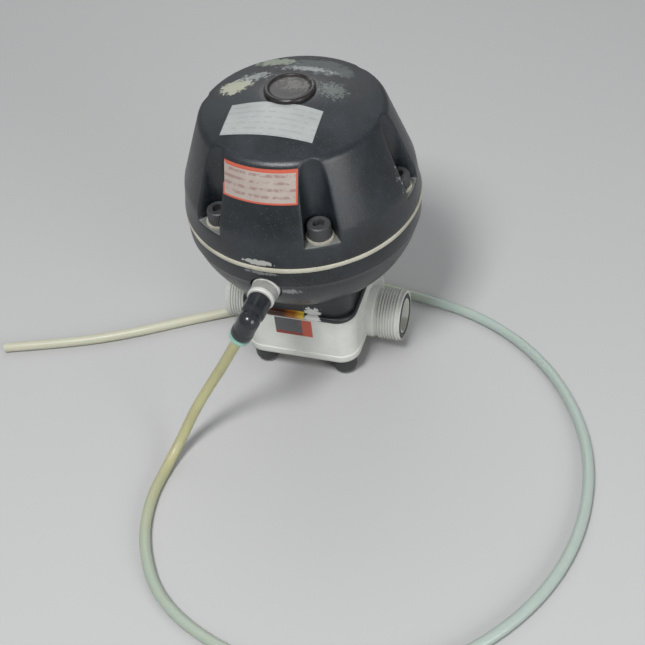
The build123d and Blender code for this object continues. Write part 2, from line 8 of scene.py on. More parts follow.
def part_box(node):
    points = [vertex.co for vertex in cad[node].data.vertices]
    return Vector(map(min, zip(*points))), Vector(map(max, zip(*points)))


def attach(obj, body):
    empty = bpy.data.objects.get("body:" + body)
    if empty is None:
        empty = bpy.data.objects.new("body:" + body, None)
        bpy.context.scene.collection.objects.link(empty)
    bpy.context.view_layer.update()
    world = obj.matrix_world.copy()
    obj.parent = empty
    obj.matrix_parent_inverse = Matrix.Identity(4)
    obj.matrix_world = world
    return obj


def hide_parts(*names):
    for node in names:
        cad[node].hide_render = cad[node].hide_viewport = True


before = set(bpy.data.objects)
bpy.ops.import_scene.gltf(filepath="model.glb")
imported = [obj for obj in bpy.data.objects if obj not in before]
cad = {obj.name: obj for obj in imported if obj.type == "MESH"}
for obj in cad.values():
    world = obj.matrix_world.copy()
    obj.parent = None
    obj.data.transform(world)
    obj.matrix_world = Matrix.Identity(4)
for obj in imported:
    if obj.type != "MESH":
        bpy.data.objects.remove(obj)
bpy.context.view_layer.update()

# ---- camera, light and floor ---------------------------------------------------
# A hand-held view from the front right, looking down on the valve. The floor is
# one pale sheet, and soft panels and the sky light it.
EYE = (0.25674, -0.63228, 0.67799)
LENS_MM = 64.13
AZIMUTH = radians(21.93)
DOWNWARD = radians(44.545)
ROLL = radians(7.251)
LIT_HEIGHT = 0.12

bpy.ops.object.select_all(action="DESELECT")
bpy.ops.object.camera_add(location=EYE)
camera = bpy.context.object
camera.data.lens = LENS_MM
camera.data.sensor_width = 36.0
aim = Matrix.Rotation(AZIMUTH, 3, "Z") @ Matrix.Rotation(pi / 2 - DOWNWARD, 3, "X")
camera.rotation_euler = (aim @ Matrix.Rotation(-ROLL, 3, "Z")).to_euler()
bpy.context.scene.camera = camera
bpy.context.scene.view_settings.view_transform = "Standard"

for panel, place, width, power in (("window", (-0.10, -0.78, 1.50), 0.40, 20.0),
                                   ("lamp", (1.15, -0.80, 0.55), 0.6, 7.5),
                                   ("wall", (-0.5, 1.3, 1.3), 1.2, 7.0)):
    bpy.ops.object.light_add(type="AREA", location=place)
    light = bpy.context.object
    light.name = panel
    light.data.size = width
    light.data.energy = power
    light.rotation_euler = (Vector((0, 0, LIT_HEIGHT)) - Vector(place)).to_track_quat("-Z", "Y").to_euler()

sky = bpy.data.worlds.new("sky")
sky.use_nodes = True
glow = sky.node_tree.nodes["Background"]
glow.inputs["Color"].default_value = (0.95, 0.98, 1.0, 1)
glow.inputs["Strength"].default_value = 0.31
bpy.context.scene.world = sky

bpy.ops.mesh.primitive_plane_add(size=8.0)
floor = bpy.context.object
floor.name = "floor"
pale = bpy.data.materials.new("pale_floor")
pale.use_nodes = True
pale_shader = pale.node_tree.nodes["Principled BSDF"]
pale_shader.inputs["Base Color"].default_value = (0.47, 0.47, 0.47, 1)
pale_shader.inputs["Roughness"].default_value = 0.9
floor.data.materials.append(pale)

# ---- air hose ------------------------------------------------------------------
# Extruded polyurethane tube, 8 mm over 5.5 mm. It is yellowed where it hangs from
# the elbow and milky where it lies in the wet, and its far end is cut square.
HOSE_RADIUS = 0.004
HOSE_WALL = 0.00125
SPECK_FADE = 0.10
hose_route = [
    (-0.00604, -0.11933, 0.12087), (-0.03093, -0.11933, 0.07407), (-0.0526, -0.1315, 0.0395),
    (-0.0638, -0.1455, 0.0155), (-0.0700, -0.1680, 0.004), (-0.0710, -0.2010, 0.004),
    (-0.0605, -0.2384, 0.004), (-0.0319, -0.2780, 0.004), (0.0206, -0.3019, 0.004),
    (0.0841, -0.3099, 0.004), (0.1325, -0.2987, 0.004), (0.1811, -0.2663, 0.004),
    (0.2188, -0.2166, 0.004), (0.2375, -0.1576, 0.004), (0.2349, -0.0909, 0.004),
    (0.2105, -0.0341, 0.004), (0.1739, 0.0084, 0.004), (0.1272, 0.0367, 0.004),
    (0.0725, 0.0495, 0.004), (0.0200, 0.0575, 0.004), (-0.0230, 0.0260, 0.004),
    (-0.0645, 0.0075, 0.004), (-0.1092, -0.0156, 0.004), (-0.1594, -0.0449, 0.004),
    (-0.2023, -0.0634, 0.004), (-0.2560, -0.0807, 0.004),
]


def pick(*pieces):
    """Select these objects and no others; the first is the active one."""
    bpy.ops.object.select_all(action="DESELECT")
    for piece in pieces:
        piece.select_set(True)
    bpy.context.view_layer.objects.active = pieces[0]


def reckon(tree, operation, *terms):
    """One step of arithmetic on masks; each term is a number or a socket."""
    step = tree.nodes.new("ShaderNodeMath")
    step.operation = operation
    for socket, term in zip(step.inputs, terms):
        if isinstance(term, float):
            socket.default_value = term
        else:
            tree.links.new(term, socket)
    return step.outputs[0]


def wear_group():
    """Masks of a used surface: fine specks, broad grime and the grain of the moulding."""
    group = bpy.data.node_groups.new("surface_wear", "ShaderNodeTree")
    for name in ("Speck Scale", "Speck Cover", "Grime Scale", "Grain Scale"):
        group.interface.new_socket(name, in_out="INPUT", socket_type="NodeSocketFloat")
    for name in ("Specks", "Grime", "Grain"):
        group.interface.new_socket(name, in_out="OUTPUT", socket_type="NodeSocketFloat")
    nodes, links = group.nodes, group.links
    given = nodes.new("NodeGroupInput")
    found = nodes.new("NodeGroupOutput")
    place = nodes.new("ShaderNodeTexCoord")
    for scale, mask, detail in (("Speck Scale", "Specks", 6.0), ("Grime Scale", "Grime", 7.0),
                                ("Grain Scale", "Grain", 3.0)):
        noise = nodes.new("ShaderNodeTexNoise")
        noise.inputs["Detail"].default_value = detail
        noise.inputs["Roughness"].default_value = 0.62
        links.new(place.outputs["Object"], noise.inputs["Vector"])
        links.new(given.outputs[scale], noise.inputs["Scale"])
        spread = nodes.new("ShaderNodeMapRange")
        links.new(noise.outputs["Fac"], spread.inputs["Value"])
        links.new(spread.outputs["Result"], found.inputs[mask])
        if mask == "Specks":
            bar = reckon(group, "SUBTRACT", 1.0, given.outputs["Speck Cover"])
            links.new(bar, spread.inputs["From Min"])
            links.new(reckon(group, "ADD", bar, SPECK_FADE), spread.inputs["From Max"])
        else:
            spread.inputs["From Min"].default_value = 0.34
            spread.inputs["From Max"].default_value = 0.70
    return group


def mixed(material, mask, first, second):
    """A colour between two, by a mask; each colour is three numbers or a socket."""
    nodes, links = material.node_tree.nodes, material.node_tree.links
    mix = nodes.new("ShaderNodeMix")
    mix.data_type = "RGBA"
    links.new(mask, mix.inputs[0])
    for socket, colour in ((mix.inputs[6], first), (mix.inputs[7], second)):
        if isinstance(colour, tuple):
            socket.default_value = (*colour, 1)
        else:
            links.new(colour, socket)
    return mix.outputs[2]


surface_wear = wear_group()


def worn(name, colour, grime, speck, rough=(0.4, 0.6), cover=0.36, speck_scale=700.0, grime_scale=28.0,
         grain_scale=1400.0, bump=0.15, metallic=0.0, soft=0.0):
    """A material whose colour and gloss change with grime and specks, over a fine grain.

    With a soft radius, the shading rounds the edges of the piece too.
    """
    material = bpy.data.materials.new(name)
    material.use_nodes = True
    nodes, links = material.node_tree.nodes, material.node_tree.links
    shader = nodes["Principled BSDF"]
    shader.inputs["Metallic"].default_value = metallic
    wear = nodes.new("ShaderNodeGroup")
    wear.node_tree = surface_wear
    wear.inputs["Speck Scale"].default_value = speck_scale
    wear.inputs["Speck Cover"].default_value = cover
    wear.inputs["Grime Scale"].default_value = grime_scale
    wear.inputs["Grain Scale"].default_value = grain_scale
    grimed = mixed(material, wear.outputs["Grime"], colour, grime)
    links.new(mixed(material, wear.outputs["Specks"], grimed, speck), shader.inputs["Base Color"])
    gloss = nodes.new("ShaderNodeMapRange")
    gloss.inputs["To Min"].default_value = rough[0]
    gloss.inputs["To Max"].default_value = rough[1]
    links.new(wear.outputs["Grime"], gloss.inputs["Value"])
    links.new(gloss.outputs["Result"], shader.inputs["Roughness"])
    relief = nodes.new("ShaderNodeBump")
    relief.inputs["Strength"].default_value = bump
    relief.inputs["Distance"].default_value = 0.0004
    links.new(wear.outputs["Grain"], relief.inputs["Height"])
    links.new(relief.outputs["Normal"], shader.inputs["Normal"])
    if soft:
        worn_edge = nodes.new("ShaderNodeBevel")
        worn_edge.samples = 6
        worn_edge.inputs["Radius"].default_value = soft
        links.new(worn_edge.outputs["Normal"], relief.inputs["Normal"])
    return material


def recolour(material, mask, colour):
    """Lay a colour over what a material has, where the mask is white."""
    shader = material.node_tree.nodes["Principled BSDF"]
    below = shader.inputs["Base Color"].links[0].from_socket
    material.node_tree.links.new(mixed(material, mask, below, colour), shader.inputs["Base Color"])


def along(material, axis, kind="Object"):
    """One axis of the place on the object, or of its normal."""
    tree = material.node_tree
    place = tree.nodes.new("ShaderNodeTexCoord")
    split = tree.nodes.new("ShaderNodeSeparateXYZ")
    tree.links.new(place.outputs[kind], split.inputs[0])
    return split.outputs[axis]


def ramp_along(material, axis, start, end):
    """A mask that rises from 0 to 1 along one axis of the object, between two places."""
    spread = material.node_tree.nodes.new("ShaderNodeMapRange")
    spread.interpolation_type = "SMOOTHSTEP"
    spread.inputs["From Min"].default_value = start
    spread.inputs["From Max"].default_value = end
    material.node_tree.links.new(along(material, axis), spread.inputs["Value"])
    return spread.outputs["Result"]


curve = bpy.data.curves.new("hose", "CURVE")
curve.dimensions = "3D"
spline = curve.splines.new("NURBS")
spline.points.add(len(hose_route) - 1)
for point, place in zip(spline.points, hose_route):
    point.co = (*place, 1)
spline.order_u = 3
spline.use_endpoint_u = True
curve.resolution_u = 16
hose = bpy.data.objects.new("hose", curve)
bpy.context.scene.collection.objects.link(hose)
bpy.context.view_layer.update()
hose_line = [tuple(vertex.co) for vertex in bpy.data.meshes.new_from_object(hose).vertices]
curve.bevel_depth = HOSE_RADIUS
curve.bevel_resolution = 6
pick(hose)
bpy.ops.object.convert(target="MESH")
hose = bpy.context.object
bore = hose.modifiers.new("bore", "SOLIDIFY")
bore.thickness = HOSE_WALL
bore.offset = -1.0
bpy.ops.object.modifier_apply(modifier="bore")
bpy.ops.object.shade_smooth_by_angle(angle=radians(50))

hose_plastic = worn("hose_plastic", (0.44, 0.43, 0.235), (0.37, 0.36, 0.20), (0.56, 0.55, 0.40),
                    rough=(0.28, 0.45), cover=0.30, speck_scale=260.0, grime_scale=40.0, bump=0.05)
recolour(hose_plastic, ramp_along(hose_plastic, "Y", -0.15, -0.27), (0.36, 0.42, 0.35))
recolour(hose_plastic, ramp_along(hose_plastic, "X", 0.00, 0.10), (0.37, 0.44, 0.40))
recolour(hose_plastic, ramp_along(hose_plastic, "X", -0.075, -0.085), (0.50, 0.50, 0.39))
hose_shader = hose_plastic.node_tree.nodes["Principled BSDF"]
hose_shader.inputs["Subsurface Weight"].default_value = 0.25
hose_shader.inputs["Subsurface Scale"].default_value = 0.002
hose.data.materials.clear()
hose.data.materials.append(hose_plastic)
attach(hose, "valve")
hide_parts("air_hose")

# ---- valve body ----------------------------------------------------------------
# One white PVC moulding: a block with rounded corners and a proud band at its foot,
# and a threaded spigot with a face-seal groove at each end of the barrel.
BODY_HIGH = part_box("valve_body")[1]
BLOCK_HALF_X = 0.0452
BLOCK_HALF_Y = 0.0504
BLOCK_CORNER = 0.014
BAND_PROUD = 0.001
PORT_AXIS = 0.0294
BORE = 0.0125
PASSAGE = 0.0132
PORT_END = BODY_HIGH.x
THREAD_PITCH = 0.002309
THREAD_TURNS = 7
FLOW_HALF_X = 0.024
FLOW_HALF_Y = 0.019
WEIR_HALF = 0.004
BOLT_X = 0.0327
BOLT_Y = 0.0380
BOLT_HOLE = 0.00425
OVERLAP = 0.002          # how far a cutter stands out of what it cuts
BLOCK_BASE = 0.0186
BLOCK_TOP = BODY_HIGH.z
BAND_TOP = BLOCK_BASE + 0.006


def select_by(piece, test, mode="VERT"):
    """In edit mode, select the points, edges or faces whose middle passes the test."""
    bpy.ops.mesh.select_mode(type=mode)
    bpy.ops.mesh.select_all(action="DESELECT")
    mesh = bmesh.from_edit_mesh(piece.data)
    if mode == "VERT":
        for point in mesh.verts:
            point.select_set(test(point.co))
    elif mode == "EDGE":
        for edge in mesh.edges:
            edge.select_set(test(edge.verts[0].co, edge.verts[1].co))
    else:
        for face in mesh.faces:
            face.select_set(test(face.calc_center_median(), face.normal))
    bmesh.update_edit_mesh(piece.data)


def rounded_block(name, half_x, half_y, low, high, corner):
    """A block on the stem axis, its four upright corners rounded."""
    bpy.ops.object.select_all(action="DESELECT")
    bpy.ops.mesh.primitive_cube_add(size=1.0, location=(0, 0, (low + high) / 2),
                                    scale=(2 * half_x, 2 * half_y, high - low))
    block = bpy.context.object
    block.name = name
    bpy.ops.object.transform_apply()
    bpy.ops.object.mode_set(mode="EDIT")
    select_by(block, lambda a, b: abs(a.z - b.z) > 0.9 * (high - low), "EDGE")
    bpy.ops.mesh.bevel(offset=corner, segments=10, affect="EDGES")
    bpy.ops.object.mode_set(mode="OBJECT")
    return block


def turned(name, outline, steps=96, closed=False):
    """A turned piece: an outline of (radius, height) points spun about the stem axis."""
    bpy.ops.object.select_all(action="DESELECT")
    bpy.ops.mesh.primitive_plane_add(size=0.002)
    piece = bpy.context.object
    piece.name = name
    bpy.ops.object.mode_set(mode="EDIT")
    bpy.ops.mesh.merge(type="CENTER")
    bpy.ops.mesh.select_all(action="SELECT")
    bpy.ops.transform.translate(value=(outline[0][0], 0, outline[0][1]))
    ring = outline + outline[:1] if closed else outline
    for before, after in zip(ring, ring[1:]):
        step = (after[0] - before[0], 0, after[1] - before[1])
        bpy.ops.mesh.extrude_vertices_move(TRANSFORM_OT_translate={"value": step})
    bpy.ops.mesh.select_all(action="SELECT")
    bpy.ops.mesh.spin(steps=steps, angle=2 * pi, center=(0, 0, 0), axis=(0, 0, 1))
    bpy.ops.mesh.select_all(action="SELECT")
    bpy.ops.mesh.remove_doubles(threshold=1e-6)
    bpy.ops.mesh.normals_make_consistent(inside=False)
    bpy.ops.object.mode_set(mode="OBJECT")
    return piece


def stand(piece, place):
    """Put a piece made about the stem axis in its place, and leave its object at the origin."""
    pick(piece)
    piece.matrix_world = place
    bpy.ops.object.transform_apply()
    return piece


def combine(piece, other, operation):
    """Join or cut a piece with another, which is used up."""
    pick(piece)
    cut = piece.modifiers.new("cut", "BOOLEAN")
    cut.operation = operation
    cut.solver = "EXACT"
    cut.object = other
    bpy.ops.object.modifier_apply(modifier="cut")
    bpy.data.objects.remove(other)
    bpy.ops.object.mode_set(mode="EDIT")
    bpy.ops.mesh.select_all(action="SELECT")
    bpy.ops.mesh.remove_doubles(threshold=2e-6)
    bpy.ops.object.mode_set(mode="OBJECT")


def round_edges(piece, width, segments=3, angle=32.0):
    """Break the sharp edges of a moulding."""
    pick(piece)
    edge = piece.modifiers.new("edge", "BEVEL")
    edge.width = width
    edge.segments = segments
    edge.limit_method = "ANGLE"
    edge.angle_limit = radians(angle)
    edge.miter_outer = "MITER_ARC"
    bpy.ops.object.modifier_apply(modifier="edge")


def smooth(piece, angle=35.0):
    """Smooth shading, with the true edges kept."""
    pick(piece)
    bpy.ops.object.shade_smooth_by_angle(angle=radians(angle))


def dress(piece, material, body="valve", nodes=()):
    """Give a finished piece its material, its body and the nodes it stands for."""
    piece.data.materials.clear()
    piece.data.materials.append(material)
    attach(piece, body)
    if nodes:
        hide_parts(*nodes)


def finish_nodes(material, *nodes):
    """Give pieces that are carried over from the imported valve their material."""
    for node in nodes:
        cad[node].data.materials.clear()
        cad[node].data.materials.append(material)


def rods(name, places, radius, low, high, sides=32):
    """Upright rods at several places, as one mesh."""
    rows = []
    for x, y in places:
        bpy.ops.mesh.primitive_cylinder_add(vertices=sides, radius=radius, depth=high - low,
                                            location=(x, y, (low + high) / 2))
        rows.append(bpy.context.object)
    pick(*rows)
    bpy.ops.object.join()
    rods_piece = bpy.context.object
    rods_piece.name = name
    bpy.ops.object.transform_apply()
    return rods_piece


def flow_cutter(low, high):
    """The oval passage to either side of the weir, as a cutter."""
    bpy.ops.mesh.primitive_cylinder_add(vertices=64, radius=1.0, depth=high - low,
                                        location=(0, 0, (low + high) / 2),
                                        scale=(FLOW_HALF_X, FLOW_HALF_Y, 1))
    oval = bpy.context.object
    bpy.ops.object.transform_apply()
    return oval


body = rounded_block("body_moulding", BLOCK_HALF_X, BLOCK_HALF_Y, BLOCK_BASE, BLOCK_TOP, BLOCK_CORNER)
bpy.ops.object.mode_set(mode="EDIT")
bpy.ops.mesh.select_all(action="SELECT")
bpy.ops.mesh.bisect(plane_co=(0, 0, BAND_TOP), plane_no=(0, 0, 1))
select_by(body, lambda middle, normal: middle.z < BAND_TOP and abs(normal.z) < 0.5, "FACE")
bpy.ops.mesh.extrude_region_shrink_fatten(
    TRANSFORM_OT_shrink_fatten={"value": BAND_PROUD, "use_even_offset": True})
bpy.ops.object.mode_set(mode="OBJECT")
round_edges(body, 0.0007)

port_side = Matrix.Rotation(pi / 2, 4, "Y")
port_middle = Matrix.Translation((0, 0, PORT_AXIS))
for turn in (0.0, pi):
    port_place = port_middle @ Matrix.Rotation(turn, 4, "Z") @ port_side
    spigot = turned("spigot", [(0, 0.030), (0.0206, 0.030), (0.0206, 0.0508), (0.0202, 0.0516),
                               (0.0198, 0.0520), (0.0198, 0.0712), (0.0203, 0.0722), (0.0203, 0.0732),
                               (0.0199, PORT_END), (0, PORT_END)], 96)
    combine(body, stand(spigot, port_place), "UNION")
for turn in (0.0, pi):
    port_place = port_middle @ Matrix.Rotation(turn, 4, "Z") @ port_side
    core = turned("core", [(0, WEIR_HALF), (PASSAGE, WEIR_HALF), (PASSAGE, BLOCK_HALF_X),
                           (BORE, BLOCK_HALF_X), (BORE, 0.0730), (0.0130, 0.0742), (0.0137, 0.0742),
                           (0.0142, 0.0731), (0.0142, 0.0702), (0.0182, 0.0702), (0.0182, 0.0731),
                           (0.0187, 0.0742), (0.0187, 0.0760), (0, 0.0760)], 96)
    combine(body, stand(core, port_place), "DIFFERENCE")
passage = flow_cutter(PORT_AXIS, BLOCK_TOP + OVERLAP)
bpy.ops.mesh.primitive_cube_add(size=1.0, location=(0, 0, 0.038), scale=(2 * WEIR_HALF, 0.06, 0.038))
weir = bpy.context.object
combine(passage, weir, "DIFFERENCE")
combine(body, passage, "DIFFERENCE")
bolt_places = [(x, y) for x in (-BOLT_X, BOLT_X) for y in (-BOLT_Y, BOLT_Y)]
combine(body, rods("bolt_holes", bolt_places, BOLT_HOLE, BLOCK_BASE - OVERLAP, BLOCK_TOP + OVERLAP),
        "DIFFERENCE")

# The union thread is one long ridge wound round each spigot. Its profile is given
# as (radius, rise) points about its start.
THREAD_START = 0.0547
thread_profile = [(0.0194, -0.0009), (0.0194, 0.0009), (0.0209, -0.0004), (0.0209, 0.0004)]
for turn in (0.0, pi):
    bpy.ops.object.select_all(action="DESELECT")
    bpy.ops.mesh.primitive_plane_add(size=0.002)
    ridge = bpy.context.object
    ridge.name = "ridge"
    for vertex, (reach, rise) in zip(ridge.data.vertices, thread_profile):
        vertex.co = (reach, 0, rise + THREAD_START)
    bpy.ops.object.mode_set(mode="EDIT")
    bpy.ops.mesh.select_all(action="SELECT")
    bpy.ops.mesh.delete(type="ONLY_FACE")
    bpy.ops.object.mode_set(mode="OBJECT")
    winding = ridge.modifiers.new("winding", "SCREW")
    winding.screw_offset = THREAD_PITCH
    winding.iterations = THREAD_TURNS
    winding.steps = 64
    winding.render_steps = 64
    winding.use_merge_vertices = False
    bpy.ops.object.modifier_apply(modifier="winding")
    bpy.ops.object.mode_set(mode="EDIT")
    bpy.ops.mesh.select_all(action="SELECT")
    bpy.ops.mesh.fill_holes(sides=0)
    bpy.ops.mesh.normals_make_consistent(inside=False)
    bpy.ops.object.mode_set(mode="OBJECT")
    stand(ridge, port_middle @ Matrix.Rotation(turn, 4, "Z") @ port_side)
    pick(body, ridge)
    bpy.ops.object.join()
smooth(body)

body_white = worn("body_white", (0.60, 0.61, 0.58), (0.51, 0.52, 0.48), (0.40, 0.38, 0.31),
                  rough=(0.34, 0.55), cover=0.33, speck_scale=170.0, grime_scale=34.0,
                  grain_scale=900.0, bump=0.10)
# Painted shade: the block turns a darker grey over its lowest 2 mm, where it stands on the floor.
recolour(body_white, ramp_along(body_white, "Z", 0.0205, 0.0185), (0.36, 0.35, 0.31))
dress(body, body_white, nodes=["valve_body"])

# ---- seals, and the edge of the valve diaphragm ----------------------------------
# Black EPDM rubber. The diaphragm's edge is clamped between block and neck, and
# bulges a little out of the joint all round.
LIP_LOW, LIP_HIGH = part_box("valve_diaphragm")
seal_rubber = worn("seal_rubber", (0.017, 0.018, 0.020), (0.034, 0.035, 0.037), (0.16, 0.16, 0.15),
                   rough=(0.30, 0.55), cover=0.27, speck_scale=500.0, grain_scale=1100.0, bump=0.12)
lip = rounded_block("diaphragm_lip", LIP_HIGH.x, LIP_HIGH.y, LIP_LOW.z, LIP_HIGH.z, 0.0152)
round_edges(lip, 0.0021, segments=5, angle=60.0)
combine(lip, flow_cutter(LIP_LOW.z - OVERLAP, LIP_HIGH.z + OVERLAP), "DIFFERENCE")
combine(lip, rods("bolt_holes", bolt_places, BOLT_HOLE, LIP_LOW.z - OVERLAP, LIP_HIGH.z + OVERLAP),
        "DIFFERENCE")
smooth(lip)
dress(lip, seal_rubber, nodes=["valve_diaphragm"])

finish_nodes(seal_rubber, "port_seal_left", "port_seal_right", "diaphragm_web", "stem_seal",
             "sight_cap_seal", "nipple_seal", "tube_seal")

# ---- actuator lower housing ------------------------------------------------------
# Black glass-filled polyamide: a round bowl on a square neck, with a flat spot face
# for the air inlet. The chamber under its diaphragm is open at the top.
RIM = 0.088
RIM_BASE = 0.1285
BOWL_LOW, BOWL_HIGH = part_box("lower_housing")
BOWL_BASE = 0.084
CHAMBER = 0.067
NECK_HALF_X = 0.044
NECK_HALF_Y = 0.049
SCREW_CIRCLE = 0.075
SCREW_HOLE = 0.0054
CLOCKING = radians(-2.0)
INLET_ANGLE = radians(-92.0)
INLET_HEIGHT = 0.1244
INLET_SEAT = 0.0824
INLET_THREAD = 0.00658


def arc(start, through, end, steps):
    """Points on the circle through three (radius, height) points, without the first."""
    ax, ay = start
    bx, by = through
    cx, cy = end
    d = 2 * (ax * (by - cy) + bx * (cy - ay) + cx * (ay - by))
    a2, b2, c2 = ax * ax + ay * ay, bx * bx + by * by, cx * cx + cy * cy
    ux = (a2 * (by - cy) + b2 * (cy - ay) + c2 * (ay - by)) / d
    uy = (a2 * (cx - bx) + b2 * (ax - cx) + c2 * (bx - ax)) / d
    size = hypot(ax - ux, ay - uy)
    first = atan2(ay - uy, ax - ux)
    last = atan2(cy - uy, cx - ux)
    sweep = (last - first + pi) % (2 * pi) - pi
    return [(ux + size * cos(first + sweep * i / steps), uy + size * sin(first + sweep * i / steps))
            for i in range(1, steps + 1)]


def stain_group():
    """The mask of one ragged stain: an uneven blot about a centre."""
    group = bpy.data.node_groups.new("ragged_stain", "ShaderNodeTree")
    for name, kind in (("Centre", "NodeSocketVector"), ("Reach", "NodeSocketVector"),
                       ("Raggedness", "NodeSocketFloat"), ("Scale", "NodeSocketFloat"),
                       ("Strength", "NodeSocketFloat")):
        group.interface.new_socket(name, in_out="INPUT", socket_type=kind)
    group.interface.new_socket("Mask", in_out="OUTPUT", socket_type="NodeSocketFloat")
    nodes, links = group.nodes, group.links
    given = nodes.new("NodeGroupInput")
    found = nodes.new("NodeGroupOutput")
    place = nodes.new("ShaderNodeTexCoord")
    noise = nodes.new("ShaderNodeTexNoise")
    noise.inputs["Detail"].default_value = 8.0
    noise.inputs["Roughness"].default_value = 0.68
    links.new(place.outputs["Object"], noise.inputs["Vector"])
    links.new(given.outputs["Scale"], noise.inputs["Scale"])
    apart = nodes.new("ShaderNodeVectorMath")
    apart.operation = "SUBTRACT"
    links.new(place.outputs["Object"], apart.inputs[0])
    links.new(given.outputs["Centre"], apart.inputs[1])
    shares = nodes.new("ShaderNodeVectorMath")
    shares.operation = "DIVIDE"
    links.new(apart.outputs[0], shares.inputs[0])
    links.new(given.outputs["Reach"], shares.inputs[1])
    away = nodes.new("ShaderNodeVectorMath")
    away.operation = "LENGTH"
    links.new(shares.outputs[0], away.inputs[0])
    even = reckon(group, "SUBTRACT", noise.outputs["Fac"], 0.5)
    ragged = reckon(group, "MULTIPLY_ADD", even, given.outputs["Raggedness"], away.outputs["Value"])
    blot = nodes.new("ShaderNodeMapRange")
    blot.inputs["From Min"].default_value = 1.0
    blot.inputs["From Max"].default_value = 0.86
    links.new(ragged, blot.inputs["Value"])
    faint = reckon(group, "MULTIPLY", blot.outputs["Result"], given.outputs["Strength"])
    links.new(faint, found.inputs["Mask"])
    return group


ragged_stain = stain_group()


def stain(material, centre, reach, colour, ragged, scale, strength):
    """Lay one ragged stain over a material."""
    blot = material.node_tree.nodes.new("ShaderNodeGroup")
    blot.node_tree = ragged_stain
    blot.inputs["Centre"].default_value = centre
    blot.inputs["Reach"].default_value = reach
    blot.inputs["Raggedness"].default_value = ragged
    blot.inputs["Scale"].default_value = scale
    blot.inputs["Strength"].default_value = strength
    recolour(material, blot.outputs["Mask"], colour)


def worn_black(name, soft=0.0):
    """Black polyamide gone blue-grey and dusty."""
    black = worn(name, (0.006, 0.008, 0.010), (0.020, 0.025, 0.031), (0.085, 0.094, 0.104),
                 rough=(0.25, 0.42), cover=0.39, speck_scale=820.0, grime_scale=26.0,
                 grain_scale=1300.0, bump=0.16, soft=soft)
    black.node_tree.nodes["Principled BSDF"].inputs["Specular IOR Level"].default_value = 0.6
    return black


screw_places = [(SCREW_CIRCLE * cos(CLOCKING + n * pi / 3), SCREW_CIRCLE * sin(CLOCKING + n * pi / 3))
                for n in range(6)]
bowl_outline = [(0, BOWL_BASE), (0.057, BOWL_BASE)]
bowl_outline += arc((0.057, BOWL_BASE), (0.0785, 0.107), (RIM - 0.001, RIM_BASE), 14)
bowl_outline += [(RIM, RIM_BASE + 0.0015), (RIM, BOWL_HIGH.z), (CHAMBER, BOWL_HIGH.z), (CHAMBER, 0.121),
                 (0.061, 0.109), (0.048, 0.100), (0, 0.100)]
bowl = turned("bowl_moulding", bowl_outline, 120)
neck = rounded_block("neck", NECK_HALF_X, NECK_HALF_Y, BOWL_LOW.z, 0.092, BLOCK_CORNER)
combine(bowl, neck, "UNION")
inlet_place = Matrix.Rotation(INLET_ANGLE, 4, "Z") @ Matrix.Rotation(pi / 2, 4, "Y")
inlet_place = Matrix.Translation((0, 0, INLET_HEIGHT)) @ inlet_place
seat = turned("seat", [(0, 0.0655), (INLET_THREAD, 0.0655), (INLET_THREAD, INLET_SEAT), (0.012, INLET_SEAT),
                       (0.012, 0.096), (0, 0.096)], 64)
combine(bowl, stand(seat, inlet_place), "DIFFERENCE")
round_edges(bowl, 0.0012, segments=3, angle=28.0)
inside = turned("inside", [(0, BOWL_LOW.z - OVERLAP), (0.031, BOWL_LOW.z - OVERLAP), (0.031, 0.088),
                           (0.010, 0.088), (0.010, 0.102), (0, 0.102)], 64)
combine(bowl, inside, "DIFFERENCE")
combine(bowl, rods("insert_holes", bolt_places, 0.006, BOWL_LOW.z - OVERLAP, 0.082), "DIFFERENCE")
combine(bowl, rods("screw_holes", screw_places, 0.0066, 0.131, BOWL_HIGH.z + OVERLAP), "DIFFERENCE")
smooth(bowl, 40.0)
bowl_black = worn_black("bowl_black")
stain(bowl_black, (0.014, -0.086, 0.123), (0.007, 0.02, 0.0025), (0.36, 0.37, 0.36),
      ragged=5.0, scale=480.0, strength=0.6)
stain(bowl_black, (-0.004, -0.088, 0.141), (0.012, 0.01, 0.0016), (0.30, 0.31, 0.30),
      ragged=4.5, scale=420.0, strength=0.45)
dress(bowl, bowl_black, nodes=["lower_housing"])

# ---- bolts that hold body and actuator together ------------------------------------
# Zinc plated steel bolts and washers in brass inserts, all hidden by the black caps
# that the valve stands on.
zinc = worn("zinc", (0.50, 0.50, 0.47), (0.36, 0.35, 0.31), (0.22, 0.15, 0.09),
            rough=(0.28, 0.5), cover=0.30, metallic=1.0)
brass = worn("brass", (0.60, 0.43, 0.17), (0.44, 0.32, 0.14), (0.30, 0.22, 0.10),
             rough=(0.25, 0.42), cover=0.25, metallic=1.0)
cap_black = worn("cap_black", (0.022, 0.023, 0.025), (0.045, 0.045, 0.045), (0.13, 0.12, 0.10),
                 rough=(0.38, 0.62), cover=0.36, speck_scale=420.0)
recolour(cap_black, ramp_along(cap_black, "Z", 0.006, 0.0), (0.10, 0.095, 0.085))
finish_nodes(zinc, "body_bolts", "body_washers", "grab_ring")
finish_nodes(brass, "body_inserts", "housing_inserts")

# Each cap is a moulded dome with a flat foot and a small step round its skirt.
cap_outline = [(0, 0), (0.004, 0)]
cap_outline += arc((0.004, 0), (0.0084, 0.0026), (0.0100, 0.0074), 8)
cap_outline += [(0.0101, 0.0128), (0.0104, 0.0132), (0.0104, BLOCK_BASE - 0.0003), (0.0101, BLOCK_BASE),
                (0.0084, BLOCK_BASE), (0.0084, 0.009), (0, 0.009)]
for number, (x, y) in enumerate(bolt_places, start=1):
    cap = stand(turned(f"bolt_cap_{number}", cap_outline, 48), Matrix.Translation((x, y, 0)))
    smooth(cap)
    dress(cap, cap_black, nodes=["bolt_caps"])

